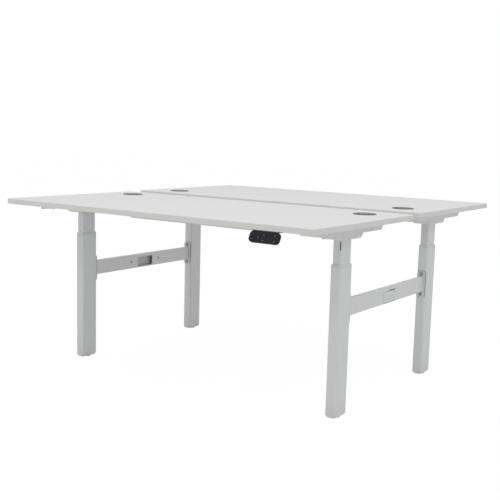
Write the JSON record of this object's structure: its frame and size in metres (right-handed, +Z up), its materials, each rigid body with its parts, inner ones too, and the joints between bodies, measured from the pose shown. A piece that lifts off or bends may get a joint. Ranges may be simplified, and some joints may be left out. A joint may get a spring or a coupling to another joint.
{
  "type": "back-to-back electric height-adjustable desk",
  "caption": "Back-to-back sit-stand desk: tops on telescopic motor columns joined by low beams, with cable ports and an up-down keypad under each outer edge.",
  "frame": {"origin": "on the floor, under the middle of the two tops", "axes": "+X to the right of the person at the front desk, +Y from the front desk to the rear desk, +Z up"},
  "size_m": [1.6, 1.6928, 0.7907],
  "materials": {
    "top_laminate": "matt white laminate",
    "silver_coat": "satin silver powder coat",
    "bright_steel": "bright, oiled",
    "motor_casing": "satin black",
    "black_plastic": "matt",
    "grey_plastic": "matt"
  },
  "bodies": {
    "base": {"left_beam": "silver_coat", "right_beam": "silver_coat", "front_left_outer_tube": "silver_coat", "front_left_collar": "silver_coat", "front_left_push_tube": "bright_steel", "front_right_outer_tube": "silver_coat", "front_right_collar": "silver_coat", "front_right_push_tube": "bright_steel", "rear_left_outer_tube": "silver_coat", "rear_left_collar": "silver_coat", "rear_left_push_tube": "bright_steel", "rear_right_outer_tube": "silver_coat", "rear_right_collar": "silver_coat", "rear_right_push_tube": "bright_steel"},
    "front_desk": {"front_top": "top_laminate", "front_crossbar_sleeve": "silver_coat", "front_control_box": "black_plastic", "front_keypad": "black_plastic", "front_left_inner_tube": "silver_coat", "front_left_motor_housing": "silver_coat", "front_left_gear_motor": "motor_casing", "front_left_side_bracket": "silver_coat", "front_left_crossbar_rail": "silver_coat", "front_left_port_liner": "grey_plastic", "front_right_inner_tube": "silver_coat", "front_right_motor_housing": "silver_coat", "front_right_gear_motor": "motor_casing", "front_right_side_bracket": "silver_coat", "front_right_crossbar_rail": "silver_coat", "front_right_port_liner": "grey_plastic"},
    "rear_desk": {"rear_top": "top_laminate", "rear_crossbar_sleeve": "silver_coat", "rear_control_box": "black_plastic", "rear_keypad": "black_plastic", "rear_left_inner_tube": "silver_coat", "rear_left_motor_housing": "silver_coat", "rear_left_gear_motor": "motor_casing", "rear_left_side_bracket": "silver_coat", "rear_left_crossbar_rail": "silver_coat", "rear_left_port_liner": "grey_plastic", "rear_right_inner_tube": "silver_coat", "rear_right_motor_housing": "silver_coat", "rear_right_gear_motor": "motor_casing", "rear_right_side_bracket": "silver_coat", "rear_right_crossbar_rail": "silver_coat", "rear_right_port_liner": "grey_plastic"},
    "front_left_screw": {"front_left_lifting_screw": "bright_steel"},
    "front_right_screw": {"front_right_lifting_screw": "bright_steel"},
    "rear_left_screw": {"rear_left_lifting_screw": "bright_steel"},
    "rear_right_screw": {"rear_right_lifting_screw": "bright_steel"},
    "front_left_lid": {"front_left_port_lid": "grey_plastic"},
    "front_right_lid": {"front_right_port_lid": "grey_plastic"},
    "rear_left_lid": {"rear_left_port_lid": "grey_plastic"},
    "rear_right_lid": {"rear_right_port_lid": "grey_plastic"},
    "front_left_foot": {"front_left_levelling_foot": "black_plastic"},
    "front_right_foot": {"front_right_levelling_foot": "black_plastic"},
    "rear_left_foot": {"rear_left_levelling_foot": "black_plastic"},
    "rear_right_foot": {"rear_right_levelling_foot": "black_plastic"},
    "front_key": {"front_up_down_key": "grey_plastic"},
    "rear_key": {"rear_up_down_key": "grey_plastic"}
  },
  "joints": [
    {"name": "front_lift", "type": "slide", "parent": "base", "child": "front_desk", "axis": [0, 0, 1], "range_m": [-0.086, 0.3985]},
    {"name": "rear_lift", "type": "slide", "parent": "base", "child": "rear_desk", "axis": [0, 0, 1], "range_m": [-0.089, 0.3955]},
    {"name": "front_left_screw_turn", "type": "hinge", "parent": "front_desk", "child": "front_left_screw", "pos_m": [-0.72, -0.42, 0.7096], "axis": [0, 0, 1], "range_deg": [-3096, 14346]},
    {"name": "front_right_screw_turn", "type": "hinge", "parent": "front_desk", "child": "front_right_screw", "pos_m": [0.68, -0.42, 0.7096], "axis": [0, 0, 1], "range_deg": [-3096, 14346]},
    {"name": "rear_left_screw_turn", "type": "hinge", "parent": "rear_desk", "child": "rear_left_screw", "pos_m": [-0.72, 0.39, 0.7126], "axis": [0, 0, 1], "range_deg": [-3204, 14238]},
    {"name": "rear_right_screw_turn", "type": "hinge", "parent": "rear_desk", "child": "rear_right_screw", "pos_m": [0.68, 0.39, 0.7126], "axis": [0, 0, 1], "range_deg": [-3204, 14238]},
    {"name": "front_left_lid_turn", "type": "hinge", "parent": "front_desk", "child": "front_left_lid", "pos_m": [-0.645, -0.18, 0.7854], "axis": [0, 0, 1], "continuous": true},
    {"name": "front_right_lid_turn", "type": "hinge", "parent": "front_desk", "child": "front_right_lid", "pos_m": [0.645, -0.18, 0.7854], "axis": [0, 0, 1], "continuous": true},
    {"name": "rear_left_lid_turn", "type": "hinge", "parent": "rear_desk", "child": "rear_left_lid", "pos_m": [-0.645, 0.18, 0.7884], "axis": [0, 0, 1], "continuous": true},
    {"name": "rear_right_lid_turn", "type": "hinge", "parent": "rear_desk", "child": "rear_right_lid", "pos_m": [0.645, 0.18, 0.7884], "axis": [0, 0, 1], "continuous": true},
    {"name": "front_left_foot_level", "type": "slide", "parent": "base", "child": "front_left_foot", "axis": [0, 0, 1], "range_m": [-0.012, 0]},
    {"name": "front_right_foot_level", "type": "slide", "parent": "base", "child": "front_right_foot", "axis": [0, 0, 1], "range_m": [-0.012, 0]},
    {"name": "rear_left_foot_level", "type": "slide", "parent": "base", "child": "rear_left_foot", "axis": [0, 0, 1], "range_m": [-0.012, 0]},
    {"name": "rear_right_foot_level", "type": "slide", "parent": "base", "child": "rear_right_foot", "axis": [0, 0, 1], "range_m": [-0.012, 0]},
    {"name": "front_key_rock", "type": "hinge", "parent": "front_desk", "child": "front_key", "pos_m": [0.549, -0.83714, 0.74275], "axis": [1, 0, 0], "range_deg": [-4, 4], "stiffness_Nm_per_rad": 0.6},
    {"name": "rear_key_rock", "type": "hinge", "parent": "rear_desk", "child": "rear_key", "pos_m": [-0.549, 0.83714, 0.74575], "axis": [-1, 0, 0], "range_deg": [-4, 4], "stiffness_Nm_per_rad": 0.6}
  ],
  "couplings": [
    {"joint": "front_left_screw_turn", "follows": "front_lift", "rad_per_m": 628.32},
    {"joint": "front_right_screw_turn", "follows": "front_lift", "rad_per_m": 628.32},
    {"joint": "rear_left_screw_turn", "follows": "rear_lift", "rad_per_m": 628.32},
    {"joint": "rear_right_screw_turn", "follows": "rear_lift", "rad_per_m": 628.32}
  ]
}
